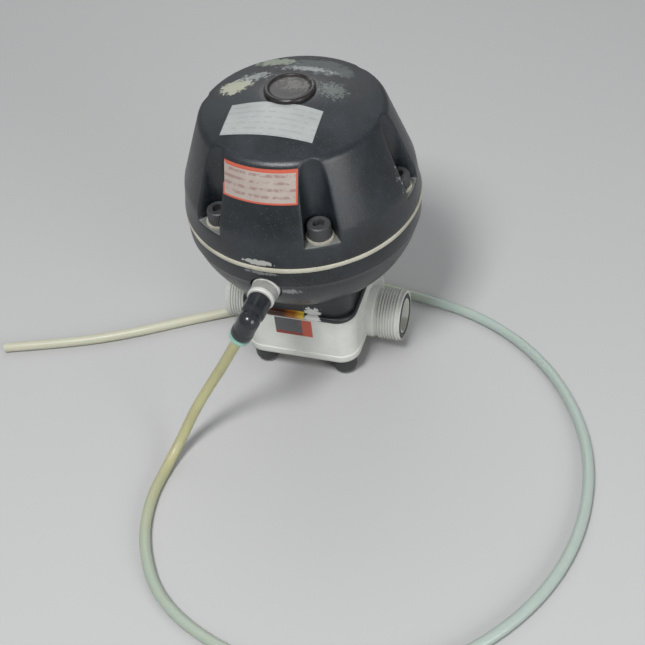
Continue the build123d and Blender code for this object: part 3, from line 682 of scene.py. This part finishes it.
# ---- actuator diaphragm ------------------------------------------------------------
# Fabric reinforced rubber, cream where its cut edge shows between the two housings.
# The edge is a little uneven, and grey with dirt in places.
EDGE_LOW, EDGE_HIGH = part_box("actuator_diaphragm")
EDGE_SOFT = 0.0009
CLAMPED_FROM = 0.066
EDGE_SEEN_FROM = 0.08
edge_reach = EDGE_HIGH.x - 0.0002
edge = turned("diaphragm_edge", [(CLAMPED_FROM, EDGE_LOW.z), (edge_reach - EDGE_SOFT, EDGE_LOW.z),
                                 (edge_reach - 0.3 * EDGE_SOFT, EDGE_LOW.z + 0.3 * EDGE_SOFT),
                                 (edge_reach, EDGE_LOW.z + EDGE_SOFT), (edge_reach, EDGE_HIGH.z - EDGE_SOFT),
                                 (edge_reach - 0.3 * EDGE_SOFT, EDGE_HIGH.z - 0.3 * EDGE_SOFT),
                                 (edge_reach - EDGE_SOFT, EDGE_HIGH.z), (CLAMPED_FROM, EDGE_HIGH.z)],
              180, closed=True)
for vertex in edge.data.vertices:
    reach = hypot(vertex.co.x, vertex.co.y)
    if reach > EDGE_SEEN_FROM:
        way = atan2(vertex.co.y, vertex.co.x)
        waves = 0.0016 * sin(3 * way + 0.7) + 0.0012 * sin(8 * way) + 0.0008 * sin(17 * way + 2)
        bulge = 1 + waves - 0.0018
        vertex.co.x *= bulge
        vertex.co.y *= bulge
combine(edge, rods("screw_holes", screw_places, SCREW_HOLE, EDGE_LOW.z - OVERLAP, EDGE_HIGH.z + OVERLAP),
        "DIFFERENCE")
smooth(edge)
diaphragm_cream = worn("diaphragm_cream", (0.53, 0.51, 0.42), (0.40, 0.385, 0.31), (0.12, 0.115, 0.10),
                       rough=(0.55, 0.75), cover=0.37, speck_scale=240.0, grime_scale=60.0,
                       grain_scale=2200.0, bump=0.3)
dress(edge, diaphragm_cream, nodes=["actuator_diaphragm"])
finish_nodes(diaphragm_cream, "actuator_web")

# ---- stem, plates and springs --------------------------------------------------------
# What works inside: a turned stainless spindle, pressed plates, oiled closing springs,
# the plastic compressor and bush, and the red indicator rod.
stainless = worn("stainless", (0.56, 0.56, 0.56), (0.45, 0.45, 0.45), (0.30, 0.30, 0.30), rough=(0.18, 0.32),
                 cover=0.24, metallic=1.0)
pressed = worn("pressed_steel", (0.40, 0.41, 0.42), (0.31, 0.32, 0.33), (0.20, 0.17, 0.14), rough=(0.30, 0.5),
               cover=0.30, metallic=1.0)
oiled = worn("oiled_spring", (0.30, 0.31, 0.33), (0.20, 0.20, 0.21), (0.13, 0.11, 0.09), rough=(0.2, 0.38),
             cover=0.28, metallic=1.0)
acetal = worn("acetal", (0.68, 0.67, 0.62), (0.60, 0.59, 0.54), (0.48, 0.46, 0.40), rough=(0.38, 0.5),
              cover=0.25)
signal_red = worn("signal_red", (0.55, 0.035, 0.025), (0.42, 0.03, 0.02), (0.30, 0.04, 0.03),
                  rough=(0.3, 0.45), cover=0.24)
finish_nodes(cap_black, "compressor")
finish_nodes(stainless, "diaphragm_stud", "spindle")
finish_nodes(pressed, "lower_plate", "upper_plate")
finish_nodes(zinc, "spindle_nut")
finish_nodes(signal_red, "indicator_rod")
finish_nodes(oiled, "spring_outer", "spring_inner")
finish_nodes(acetal, "spindle_bush")

# ---- actuator upper housing ------------------------------------------------------------
# Black polyamide dome with six open pockets for the housing screws. It has stood
# outdoors: dusty, scuffed above the joint, with dried deposit round its crown.
DOME_LOW, DOME_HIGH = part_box("upper_housing")
DOME_FOOT = 0.0882
LEDGE = 0.163
SHOULDER = (0.067, 0.221)
CROWN = (0.0209, DOME_HIGH.z)
FLANK_FOOT = (0.0854, 0.170)
SKIRT = (0.0868, 0.158)
POCKET = 0.0105
POCKET_REACH = 0.030
POCKET_MOUTH = 0.0165


def settled(material, height, colour):
    """Dirt that has settled on the level faces under a height."""
    level = material.node_tree.nodes.new("ShaderNodeMapRange")
    level.inputs["From Min"].default_value = 0.55
    level.inputs["From Max"].default_value = 0.95
    material.node_tree.links.new(along(material, "Z", "Normal"), level.inputs["Value"])
    low = ramp_along(material, "Z", height + 0.0008, height)
    recolour(material, reckon(material.node_tree, "MULTIPLY", level.outputs["Result"], low), colour)


def rounded(before, corner, after, radius, steps=8):
    """The round between two straight runs, as points."""
    here = Vector(corner)
    back = (Vector(before) - here).normalized()
    on = (Vector(after) - here).normalized()
    half = back.angle(on) / 2
    setback = radius / tan(half)
    middle = here + (back + on).normalized() * (radius / sin(half))
    top = middle + (here - middle).normalized() * radius
    start = here + back * setback
    return [tuple(start)] + arc(tuple(start), tuple(top), tuple(here + on * setback), steps)


dome_outline = [(0, 0.217), (0.056, 0.217), (0.061, 0.202), (0.061, 0.160), (0.066, 0.155),
                (0.066, DOME_LOW.z), (DOME_FOOT, DOME_LOW.z), (DOME_FOOT, 0.150), SKIRT]
dome_outline += rounded(SKIRT, FLANK_FOOT, SHOULDER, 0.030, 5)
dome_outline += rounded(FLANK_FOOT, SHOULDER, CROWN, 0.0065, 10)
dome_outline += [(0.044, 0.22812), (0.030, 0.23250), (0.0216, 0.23480), (0.0205, CROWN[1]), (0, CROWN[1])]
dome = turned("dome_moulding", dome_outline, 120)
pockets = rods("pockets", [(SCREW_CIRCLE, 0)], POCKET, LEDGE, 0.245, sides=48)
bpy.ops.object.mode_set(mode="EDIT")
select_by(pockets, lambda co: co.x > SCREW_CIRCLE - 1e-5)
bpy.ops.transform.translate(value=(POCKET_REACH, 0, 0))
bpy.ops.transform.resize(value=(1, POCKET_MOUTH / POCKET, 1), center_override=(0, 0, LEDGE))
bpy.ops.object.mode_set(mode="OBJECT")
for n in range(6):
    pocket = pockets.copy()
    pocket.data = pockets.data.copy()
    bpy.context.scene.collection.objects.link(pocket)
    combine(dome, stand(pocket, Matrix.Rotation(CLOCKING + n * pi / 3, 4, "Z")), "DIFFERENCE")
bpy.data.objects.remove(pockets)
round_edges(dome, 0.0013, segments=3, angle=30.0)
combine(dome, rods("screw_holes", screw_places, SCREW_HOLE, DOME_LOW.z - OVERLAP, LEDGE + OVERLAP),
        "DIFFERENCE")
well = turned("well", [(0, 0.214), (0.005, 0.214), (0.005, 0.224), (0.012, 0.224), (0.012, 0.236),
                       (0.0136, 0.236), (0.0136, 0.2328), (0.0162, 0.2328), (0.0162, 0.237), (0, 0.237)], 64)
combine(dome, well, "DIFFERENCE")
smooth(dome, 40.0)

dome_black = worn_black("dome_black", soft=0.0028)
settled(dome_black, LEDGE + 0.0016, (0.15, 0.155, 0.145))
for centre, reach, colour, ragged, scale, strength in (
        ((-0.0440, 0.0080, 0.228), (0.0135, 0.0100, 0.02), (0.38, 0.39, 0.30), 2.2, 300.0, 1.0),
        ((-0.0330, 0.0190, 0.228), (0.012, 0.007, 0.02), (0.36, 0.39, 0.38), 5.0, 300.0, 0.7),
        ((-0.0260, 0.0480, 0.226), (0.016, 0.008, 0.02), (0.30, 0.34, 0.27), 2.6, 170.0, 0.8),
        ((0.0090, 0.0400, 0.228), (0.026, 0.016, 0.02), (0.13, 0.15, 0.15), 2.2, 120.0, 0.5),
        ((0.0030, 0.0330, 0.228), (0.017, 0.0045, 0.02), (0.42, 0.44, 0.42), 6.0, 420.0, 0.7),
        ((0.0290, 0.0080, 0.232), (0.008, 0.008, 0.02), (0.24, 0.28, 0.25), 6.5, 420.0, 0.4),
        ((-0.0040, -0.0872, 0.1506), (0.0120, 0.01, 0.0024), (0.42, 0.43, 0.40), 2.4, 380.0, 0.85),
        ((0.0800, -0.0070, 0.1800), (0.010, 0.008, 0.010), (0.40, 0.42, 0.43), 5.5, 420.0, 0.6)):
    stain(dome_black, centre, reach, colour, ragged, scale, strength)
dress(dome, dome_black, nodes=["upper_housing"])

# ---- housing screws and washers -----------------------------------------------------
# Black oxide socket-head cap screws with knurled heads, on plated washers that are
# pale with settled dirt.
WASHER_THICK = 0.0016
HEAD_BASE = LEDGE + WASHER_THICK
HEAD_TOP = HEAD_BASE + 0.0104
HEAD = 0.0085
HEX_SOCKET = 0.0046
KNURL_VALLEY = 0.955     # radius of a knurl's valleys, as a share of its ridges


def knurl(piece, ridge, pitch):
    """Press every other line of points at a radius inwards; the lines are a pitch of degrees apart."""
    bpy.ops.object.mode_set(mode="EDIT")
    select_by(piece, lambda co: abs(hypot(co.x, co.y) - ridge) < 1e-5
              and round(atan2(co.y, co.x) / radians(pitch)) % 2 == 0)
    bpy.ops.transform.resize(value=(KNURL_VALLEY, KNURL_VALLEY, 1), center_override=(0, 0, 0))
    bpy.ops.object.mode_set(mode="OBJECT")


screw_black = worn("screw_black", (0.030, 0.031, 0.034), (0.065, 0.066, 0.068), (0.20, 0.20, 0.19),
                   rough=(0.35, 0.6), cover=0.36, speck_scale=600.0)
washer_dirt = worn("washer_dirt", (0.34, 0.32, 0.27), (0.46, 0.44, 0.37), (0.14, 0.13, 0.11),
                   rough=(0.5, 0.8), cover=0.36, speck_scale=420.0, grime_scale=180.0)
pattern = turned("screw", [(0, HEAD_BASE - 0.031), (0.0042, HEAD_BASE - 0.031), (0.005, HEAD_BASE - 0.030),
                           (0.005, HEAD_BASE), (HEAD, HEAD_BASE), (HEAD, HEAD_TOP - 0.0016),
                           (HEAD - 0.0003, HEAD_TOP - 0.0006), (HEAD - 0.0012, HEAD_TOP), (0, HEAD_TOP)], 72)
knurl(pattern, HEAD, 5)
bpy.ops.mesh.primitive_cylinder_add(vertices=6, radius=HEX_SOCKET, depth=0.010, location=(0, 0, HEAD_TOP))
combine(pattern, stand(bpy.context.object, Matrix.Translation((0, 0, HEAD_TOP))), "DIFFERENCE")
smooth(pattern, 30.0)
for number, (x, y) in enumerate(screw_places, start=1):
    screw = pattern.copy()
    screw.name = f"housing_screw_{number}"
    screw.data = pattern.data.copy()
    bpy.context.scene.collection.objects.link(screw)
    stand(screw, Matrix.Translation((x, y, 0)) @ Matrix.Rotation(0.9 * number, 4, "Z"))
    dress(screw, screw_black, nodes=["housing_screws"])
bpy.data.objects.remove(pattern)
finish_nodes(washer_dirt, "housing_washers")

# ---- sight cap -----------------------------------------------------------------------
# Smoky polycarbonate disc that snaps into the crown, with a raised rounded rim. It
# is scratched and dull in its middle.
SIGHT_LOW, SIGHT_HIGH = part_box("sight_cap")
SIGHT = SIGHT_HIGH.x
SEAT = DOME_HIGH.z
sight_outline = [(0, 0.2364), (0.009, 0.2364), (0.009, SIGHT_LOW.z), (0.012, SIGHT_LOW.z), (0.012, SEAT),
                 (SIGHT, SEAT), (SIGHT, SIGHT_HIGH.z - 0.0014)]
sight_outline += arc((SIGHT, SIGHT_HIGH.z - 0.0014), (SIGHT - 0.0012, SIGHT_HIGH.z - 0.0001),
                     (SIGHT - 0.0032, SIGHT_HIGH.z - 0.0004), 8)
sight_outline += [(0.0142, 0.23700), (0.0132, 0.23680), (0.0100, 0.23700), (0.0060, 0.23725), (0, 0.23740)]
sight = turned("sight_disc", sight_outline, 96)
smooth(sight, 50.0)
sight_smoke = worn("sight_smoke", (0.010, 0.008, 0.008), (0.024, 0.021, 0.019), (0.085, 0.08, 0.07),
                   rough=(0.18, 0.40), cover=0.36, speck_scale=330.0, grime_scale=90.0, bump=0.08)
stain(sight_smoke, (0.004, 0.0045, 0.238), (0.010, 0.0055, 0.01), (0.22, 0.21, 0.19),
      ragged=6.5, scale=360.0, strength=0.3)
dress(sight, sight_smoke, nodes=["sight_cap"])

# ---- air inlet ---------------------------------------------------------------------
# A nickel plated screw-in nipple with a knurled collar, and a glossy push-in elbow
# that leans down towards the hose. The teal ring at its mouth lets the hose go.
NIPPLE_SEAT = INLET_SEAT + 0.0012
NIPPLE_END = 0.098
SPIGOT_END = 0.108
SPIGOT = 0.005
AIRWAY = 0.0025
KNURL = 0.0099


def zone(piece, material, test):
    """Give the faces that pass the test another material."""
    piece.data.materials.append(material)
    index = len(piece.data.materials) - 1
    for face in piece.data.polygons:
        if test(face.center):
            face.material_index = index


nipple = turned("inlet_nut", [(AIRWAY, 0.0676), (0.0060, 0.0676), (INLET_THREAD, 0.0684),
                              (INLET_THREAD, NIPPLE_SEAT), (0.0096, NIPPLE_SEAT),
                              (0.0103, NIPPLE_SEAT + 0.0006), (0.0103, NIPPLE_SEAT + 0.0038),
                              (0.0101, NIPPLE_SEAT + 0.0042), (KNURL, NIPPLE_SEAT + 0.0044),
                              (KNURL, NIPPLE_END - 0.0032), (0.00995, NIPPLE_END - 0.0029),
                              (0.0100, NIPPLE_END - 0.0025), (0.0100, NIPPLE_END - 0.0008),
                              (0.0093, NIPPLE_END), (SPIGOT, NIPPLE_END), (SPIGOT, SPIGOT_END - 0.0005),
                              (0.0045, SPIGOT_END), (AIRWAY, SPIGOT_END)], 120, closed=True)
knurl(nipple, KNURL, 3)
stand(nipple, inlet_place)
smooth(nipple, 30.0)
nickel = worn("nickel", (0.62, 0.62, 0.59), (0.50, 0.50, 0.47), (0.26, 0.25, 0.22),
              rough=(0.55, 0.72), cover=0.33, speck_scale=600.0, grime_scale=160.0)
knurl_grey = worn("knurl_grey", (0.36, 0.36, 0.345), (0.26, 0.26, 0.245), (0.12, 0.115, 0.10),
                  rough=(0.5, 0.7), cover=0.36, speck_scale=600.0, grime_scale=160.0)
dress(nipple, nickel, nodes=["nipple"])
inlet_dir = Vector((cos(INLET_ANGLE), sin(INLET_ANGLE), 0))
zone(nipple, knurl_grey, lambda co: NIPPLE_SEAT + 0.0043 < co.dot(inlet_dir) < NIPPLE_END - 0.0031)

# The elbow is moulded in one: two legs and a round knuckle, run together by a fine
# skin that is then polished, and bored for the nipple and for the hose.
BEND = 0.1194
LEAN = radians(28)
MOUTH = 0.0164
LEG = 0.0087
THROAT = 0.0074
BARREL = 0.0079
KNUCKLE = 0.00795
bend_point = inlet_dir * BEND + Vector((0, 0, INLET_HEIGHT))
outlet_place = Matrix.Translation(bend_point) @ Matrix.Rotation(pi + LEAN, 4, "Y")
elbow = stand(turned("elbow_moulding", [(0, NIPPLE_END + 0.0003), (0.0083, NIPPLE_END + 0.0003),
                                        (LEG, NIPPLE_END + 0.0008), (LEG, BEND - 0.0066),
                                        (0.0078, BEND - 0.0046), (THROAT, BEND - 0.0036),
                                        (THROAT, BEND + 0.001), (0, BEND + 0.001)], 64), inlet_place)
outlet = turned("outlet", [(0, 0), (BARREL, 0), (BARREL, MOUTH - 0.0056), (0.0083, MOUTH - 0.0050),
                           (0.0083, MOUTH - 0.0004), (BARREL, MOUTH), (0, MOUTH)], 64)
combine(elbow, stand(outlet, outlet_place), "UNION")
bpy.ops.mesh.primitive_uv_sphere_add(segments=48, ring_count=24, radius=KNUCKLE, location=bend_point)
knuckle = bpy.context.object
bpy.ops.object.transform_apply()
combine(elbow, knuckle, "UNION")
pick(elbow)
skin = elbow.modifiers.new("skin", "REMESH")
skin.mode = "VOXEL"
skin.voxel_size = 0.00035
bpy.ops.object.modifier_apply(modifier="skin")
polish = elbow.modifiers.new("polish", "SMOOTH")
polish.factor = 0.5
polish.iterations = 24
bpy.ops.object.modifier_apply(modifier="polish")
socket = turned("socket", [(0, NIPPLE_END - 0.001), (SPIGOT, NIPPLE_END - 0.001), (SPIGOT, SPIGOT_END),
                           (AIRWAY, SPIGOT_END), (AIRWAY, BEND), (0, BEND)], 48)
combine(elbow, stand(socket, inlet_place), "DIFFERENCE")
mouth_bore = turned("mouth_bore", [(0, 0), (AIRWAY, 0), (AIRWAY, 0.004), (0.0041, 0.004), (0.0041, 0.0062),
                                   (0.0065, 0.0062), (0.0065, 0.0097), (0.0057, 0.0097), (0.0057, 0.019),
                                   (0, 0.019)], 48)
combine(elbow, stand(mouth_bore, outlet_place), "DIFFERENCE")
smooth(elbow, 40.0)
elbow_black = worn("elbow_black", (0.014, 0.016, 0.020), (0.030, 0.033, 0.038), (0.15, 0.155, 0.16),
                   rough=(0.12, 0.28), cover=0.27, speck_scale=520.0, bump=0.04)
dress(elbow, elbow_black, nodes=["elbow_body"])

collet_teal = worn("collet_teal", (0.27, 0.50, 0.42), (0.34, 0.55, 0.47), (0.46, 0.58, 0.51),
                   rough=(0.32, 0.5), cover=0.30, speck_scale=600.0, bump=0.05)
finish_nodes(collet_teal, "release_ring")

# ---- labels and tape ---------------------------------------------------------------
# Printed film, stuck on: two labels on the dome, one on the block, and a strip of
# amber tape over the joint with a torn white end. The prints are plain fields.
FILM = 0.00012
LIFT = 0.00006


def film(name, low, high, cuts, wrap_on, direction, keep=None):
    """A thin sheet between two corners, laid on a surface along a direction, and torn to what is kept."""
    middle = (Vector(low) + Vector(high)) / 2
    size = Vector(high) - Vector(low)
    tilt = 0 if direction == "Z" else pi / 2
    bpy.ops.object.select_all(action="DESELECT")
    bpy.ops.mesh.primitive_grid_add(x_subdivisions=cuts[0], y_subdivisions=cuts[1], size=1.0,
                                    location=middle, rotation=(tilt, 0, 0))
    sheet = bpy.context.object
    sheet.name = name
    sheet.scale = (size.x, size.y if direction == "Z" else size.z, 1)
    bpy.ops.object.transform_apply()
    wrap = sheet.modifiers.new("wrap", "SHRINKWRAP")
    wrap.target = wrap_on
    wrap.wrap_method = "PROJECT"
    wrap.use_project_x = False
    wrap.use_project_y = direction == "Y"
    wrap.use_project_z = direction == "Z"
    wrap.use_negative_direction = direction == "Z"
    wrap.use_positive_direction = direction == "Y"
    wrap.offset = LIFT
    wrap.wrap_mode = "ABOVE_SURFACE"
    bpy.ops.object.modifier_apply(modifier="wrap")
    if keep:
        bpy.ops.object.mode_set(mode="EDIT")
        select_by(sheet, lambda middle, normal: not keep(middle), "FACE")
        bpy.ops.mesh.delete(type="FACE")
        bpy.ops.object.mode_set(mode="OBJECT")
    thick = sheet.modifiers.new("thick", "SOLIDIFY")
    thick.thickness = FILM
    thick.offset = 1.0
    bpy.ops.object.modifier_apply(modifier="thick")
    smooth(sheet)
    return sheet


def print_bars(material, axis, first, pitch, share, colour, strength):
    """Faint broken bars across a label, for a print that can't be read."""
    tree = material.node_tree
    nodes, links = tree.nodes, tree.links
    lines = reckon(tree, "MULTIPLY_ADD", along(material, axis), 1 / pitch, 50 - first / pitch)
    line = reckon(tree, "LESS_THAN", reckon(tree, "FRACT", lines), share)
    place = nodes.new("ShaderNodeTexCoord")
    gaps = nodes.new("ShaderNodeTexNoise")
    gaps.inputs["Scale"].default_value = 260.0
    gaps.inputs["Detail"].default_value = 3.0
    links.new(place.outputs["Object"], gaps.inputs["Vector"])
    broken = nodes.new("ShaderNodeMapRange")
    broken.inputs["From Min"].default_value = 0.42
    broken.inputs["From Max"].default_value = 0.56
    broken.inputs["To Max"].default_value = strength
    links.new(gaps.outputs["Fac"], broken.inputs["Value"])
    recolour(material, reckon(tree, "MULTIPLY", line, broken.outputs["Result"]), colour)


paper = worn("label_paper", (0.37, 0.39, 0.385), (0.31, 0.325, 0.32), (0.25, 0.26, 0.26),
             rough=(0.35, 0.55), cover=0.30, speck_scale=300.0, grime_scale=50.0, bump=0.05)
print_bars(paper, "Y", -0.0445, 0.0046, 0.34, (0.22, 0.23, 0.24), 0.35)
top_label = film("top_label", (-0.0378, -0.0445, 0.245), (0.0290, -0.0165, 0.245), (36, 18), dome, "Z")
dress(top_label, paper)

cream = worn("label_cream", (0.40, 0.35, 0.31), (0.34, 0.28, 0.25), (0.27, 0.23, 0.21), rough=(0.35, 0.55),
             cover=0.30, speck_scale=300.0, grime_scale=60.0, bump=0.05)
print_bars(cream, "Z", 0.1985, 0.0047, 0.42, (0.22, 0.11, 0.12), 0.6)
border_red = worn("label_red", (0.53, 0.10, 0.058), (0.44, 0.095, 0.06), (0.36, 0.18, 0.13),
                  rough=(0.35, 0.55), cover=0.30, speck_scale=300.0, bump=0.05)
side_label = film("side_label", (-0.0300, -0.12, 0.1945), (0.0243, -0.12, 0.2180), (45, 19), dome, "Y")
dress(side_label, cream)
zone(side_label, border_red, lambda co: not (-0.0285 < co.x < 0.0228 and 0.1964 < co.z < 0.2162))

# The low label and the tape lie on block, lip and bowl together, so a copy of these
# three is their surface for a while.
pick(body)
bpy.ops.object.duplicate()
skin_of_front = bpy.context.object
for part in (lip, bowl):
    pick(part)
    bpy.ops.object.duplicate()
    copy = bpy.context.object
    pick(skin_of_front, copy)
    bpy.ops.object.join()
label_grey = worn("label_grey", (0.075, 0.08, 0.085), (0.12, 0.12, 0.125), (0.22, 0.21, 0.20),
                  rough=(0.4, 0.6), cover=0.36, speck_scale=300.0, bump=0.05)
label_maroon = worn("label_maroon", (0.22, 0.04, 0.035), (0.30, 0.06, 0.05), (0.40, 0.20, 0.16),
                    rough=(0.4, 0.6), cover=0.33, speck_scale=300.0, bump=0.05)
front_label = film("front_label", (-0.0170, -0.07, 0.0423), (0.0130, -0.07, 0.0595), (30, 16),
                   skin_of_front, "Y")
dress(front_label, label_grey)
zone(front_label, label_maroon, lambda co: co.z < 0.0455 and co.x < 0.0050)
zone(front_label, border_red, lambda co: co.x > 0.0050)

tape_amber = worn("tape_amber", (0.36, 0.13, 0.012), (0.30, 0.09, 0.010), (0.16, 0.05, 0.01),
                  rough=(0.22, 0.4), cover=0.40, speck_scale=180.0, bump=0.05)
# Painted shade darkens the left part of the tape, and a painted highlight turns its right end bright yellow.
recolour(tape_amber, ramp_along(tape_amber, "X", -0.002, -0.010), (0.045, 0.015, 0.006))
recolour(tape_amber, ramp_along(tape_amber, "X", -0.001, 0.006), (0.66, 0.44, 0.05))
tape = film("seal_tape", (-0.0210, -0.07, 0.0605), (0.0080, -0.07, 0.0680), (30, 14), skin_of_front, "Y")
dress(tape, tape_amber)
TORN_X = 0.0148
TORN_Z = 0.0670
TORN_HALF = 0.0058


def torn_half(wide, way, fine, fine_way):
    """Half the width that is left of the torn end, with a wavy edge."""
    return TORN_HALF + wide * sin(way) + fine * sin(fine_way)


torn_white = worn("torn_white", (0.70, 0.70, 0.68), (0.60, 0.60, 0.57), (0.46, 0.45, 0.42), rough=(0.4, 0.6),
                  cover=0.30, speck_scale=300.0, bump=0.05)
torn_end = film("torn_end", (0.0075, -0.07, 0.0600), (0.0220, -0.07, 0.0740), (40, 40), skin_of_front, "Y",
                keep=lambda co: abs(co.x - TORN_X) < torn_half(0.0012, 1400 * co.z, 0.0009, 3100 * co.z)
                and abs(co.z - TORN_Z) < torn_half(0.0011, 1100 * co.x + 1, 0.0007, 2700 * co.x))
dress(torn_end, torn_white)
bpy.data.objects.remove(skin_of_front)
